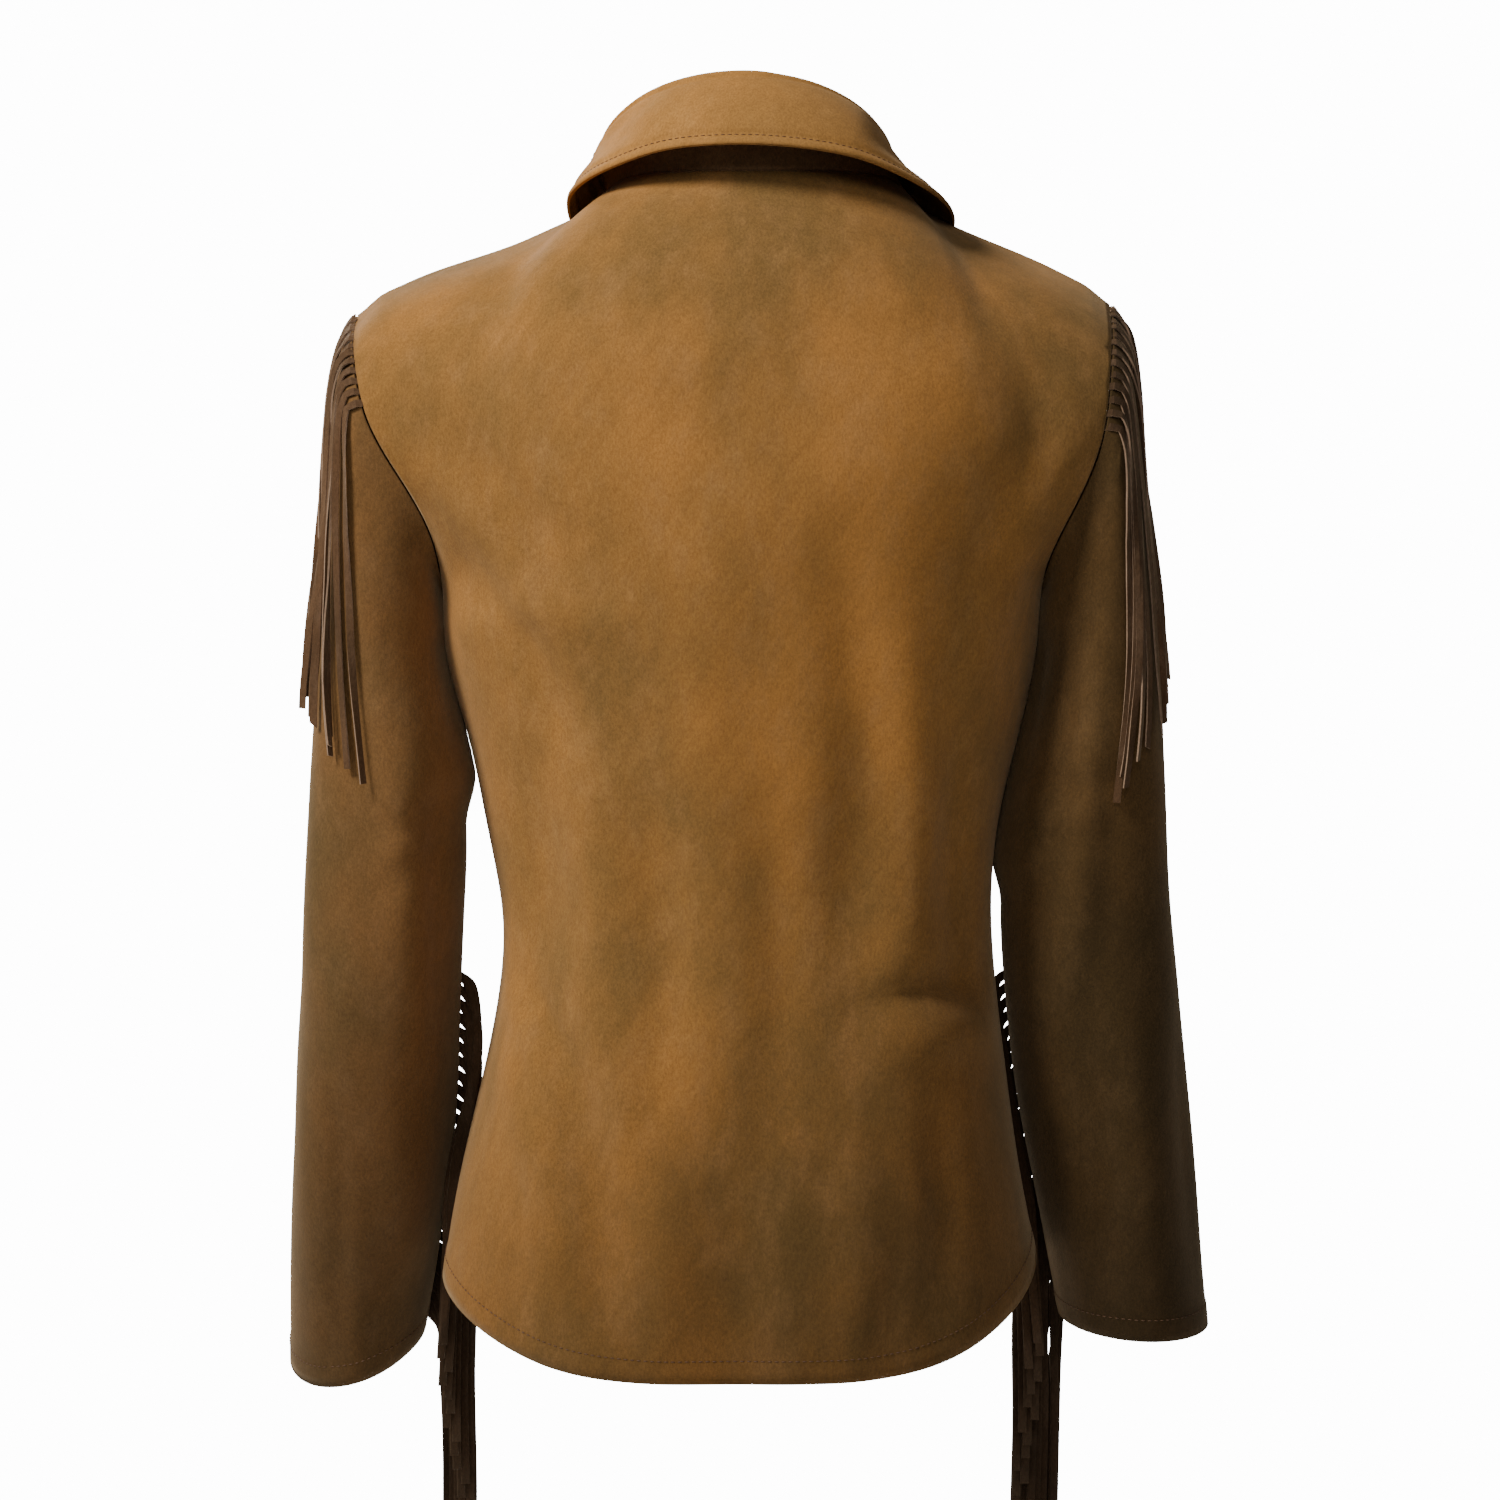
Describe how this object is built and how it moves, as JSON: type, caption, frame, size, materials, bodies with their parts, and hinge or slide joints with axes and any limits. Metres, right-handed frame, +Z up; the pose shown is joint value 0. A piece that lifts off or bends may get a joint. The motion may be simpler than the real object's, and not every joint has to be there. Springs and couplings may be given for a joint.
{
  "type": "fringed suede shirt-jacket",
  "caption": "Hip-length suede shirt-jacket worn open-necked, with a turned-down collar, long set-in sleeves and cut fringe in the armhole and inner sleeve seams.",
  "frame": {"origin": "middle of the base of the neck, level with the shoulder seams, where the wearer's shoulders carry the garment", "axes": "+Z up, +Y towards the front of the garment, +X towards the wearer's right"},
  "size_m": [0.5162, 0.2536, 0.8918],
  "materials": {
    "suede": "soft napped faux suede, camel tan with darker and greyer brushed patches",
    "fringe": "cut strips of the same suede, darker in the shade, with bare brown cut edges",
    "button": "plain dark brown buttons with a low rim"
  },
  "bodies": {
    "root": {"back": "suede", "front_left": "suede", "front_right": "suede", "sleeve_left": "suede", "sleeve_right": "suede", "collar_stand": "suede", "collar_leaf": "suede", "fringe_armhole_left": "fringe", "fringe_armhole_right": "fringe", "fringe_sleeve_left": "fringe", "fringe_sleeve_right": "fringe", "button_1": "button", "button_2": "button", "button_3": "button", "button_4": "button", "button_5": "button", "button_6": "button"}
  },
  "joints": []
}
